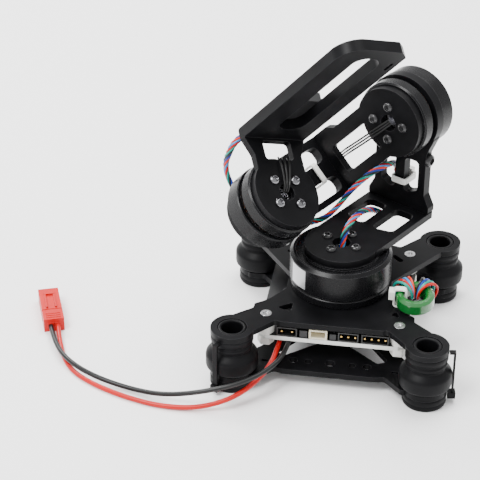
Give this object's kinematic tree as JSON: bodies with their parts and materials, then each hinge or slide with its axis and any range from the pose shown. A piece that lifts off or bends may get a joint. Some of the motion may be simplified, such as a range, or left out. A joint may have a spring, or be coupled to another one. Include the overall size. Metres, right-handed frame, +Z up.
{
  "type": "camera gimbal",
  "caption": "Brushless camera gimbal: damped mounting plate, yaw, roll and pitch motor arms in black plate, and a slotted tray for a small action camera.",
  "frame": {"origin": "on the ground plane under the dampers, on the yaw motor's axis, which is the centre of the four dampers", "axes": "+Z up along the yaw axis, +X to the right and +Y to the rear, both square to the edges of the plates"},
  "size_m": [0.1519, 0.0969, 0.1226],
  "materials": {
    "black_anodised": "matt black anodised, worn bright edges",
    "damper_rubber": "satin black moulded rubber",
    "strap_black": "black nylon strap",
    "board_white": "white solder mask",
    "header_black": "moulded",
    "chip_black": "moulded epoxy",
    "socket_cream": "moulded nylon",
    "nylon_white": "moulded nylon",
    "steel_silver": "zinc plated",
    "steel_black": "black oxide",
    "bell_black": "satin black anodised, turned",
    "stator_steel": "coated laminations",
    "copper": "enamelled copper",
    "magnet": "nickel plated",
    "bearing_steel": "ground",
    "ferrite_green": "glossy enamel",
    "wire_strands": "red, orange, teal, two blue and black insulated strands",
    "wire_black": "soft insulation",
    "wire_red": "soft insulation",
    "plug_red": "moulded",
    "sensor_black": "moulded case"
  },
  "bodies": {
    "base": {"mount_plate": "black_anodised", "dampers": "damper_rubber", "damper_ties": "strap_black", "motor_plate": "black_anodised", "control_board": "board_white", "board_headers": "header_black", "board_chips": "chip_black", "motor_socket": "socket_cream", "board_spacers": "nylon_white", "board_nuts": "nylon_white", "board_screws": "steel_silver", "yaw_motor_base": "bell_black", "yaw_bearings": "bearing_steel", "yaw_stator_core": "stator_steel", "yaw_windings": "copper", "yaw_base_screws": "steel_black", "ferrite_ring": "ferrite_green", "ferrite_winding": "wire_strands", "ferrite_tie": "nylon_white", "power_wire_black": "wire_black", "power_wire_red": "wire_red", "power_plug": "plug_red"},
    "yaw_arm": {"yaw_bell": "bell_black", "yaw_magnets": "magnet", "yaw_shaft": "bearing_steel", "yaw_arm_plate": "black_anodised", "yaw_arm_screws": "steel_black", "upright": "black_anodised", "upright_screws": "steel_black", "roll_bell": "bell_black", "roll_magnets": "magnet", "roll_shaft": "bearing_steel", "yaw_cable": "wire_strands", "roll_cable": "wire_strands", "upright_tie": "nylon_white"},
    "roll_arm": {"leg_a": "black_anodised", "leg_a_screws": "steel_black", "roll_motor_base": "bell_black", "roll_bearings": "bearing_steel", "roll_stator_core": "stator_steel", "roll_windings": "copper", "roll_motor_wires": "wire_black", "leg_b": "black_anodised", "leg_b_screws": "steel_black", "pitch_bell": "bell_black", "pitch_magnets": "magnet", "pitch_shaft": "bearing_steel", "leg_cable": "wire_strands", "pitch_cable": "wire_strands", "leg_tie": "nylon_white"},
    "camera_mount": {"camera_bracket": "black_anodised", "bracket_screws": "steel_silver", "pitch_motor_base": "bell_black", "pitch_bearings": "bearing_steel", "pitch_stator_core": "stator_steel", "pitch_windings": "copper", "pitch_motor_wires": "wire_black", "imu_sensor": "sensor_black", "sensor_cable": "wire_strands"}
  },
  "joints": [
    {"name": "yaw", "type": "hinge", "parent": "base", "child": "yaw_arm", "pos_m": [0, 0, 0.0362], "axis": [0, 0, 1], "range_deg": [-170, 170]},
    {"name": "roll", "type": "hinge", "parent": "yaw_arm", "child": "roll_arm", "pos_m": [0, 0, 0.0745], "axis": [0.5, 0.866, 0], "range_deg": [-2, 93], "deforming": ["roll_cable"]},
    {"name": "pitch", "type": "hinge", "parent": "roll_arm", "child": "camera_mount", "pos_m": [-0.008, -0.01386, 0.0745], "axis": [-0.5795, 0.3346, -0.7431], "range_deg": [-73, 62], "deforming": ["pitch_cable"]}
  ]
}
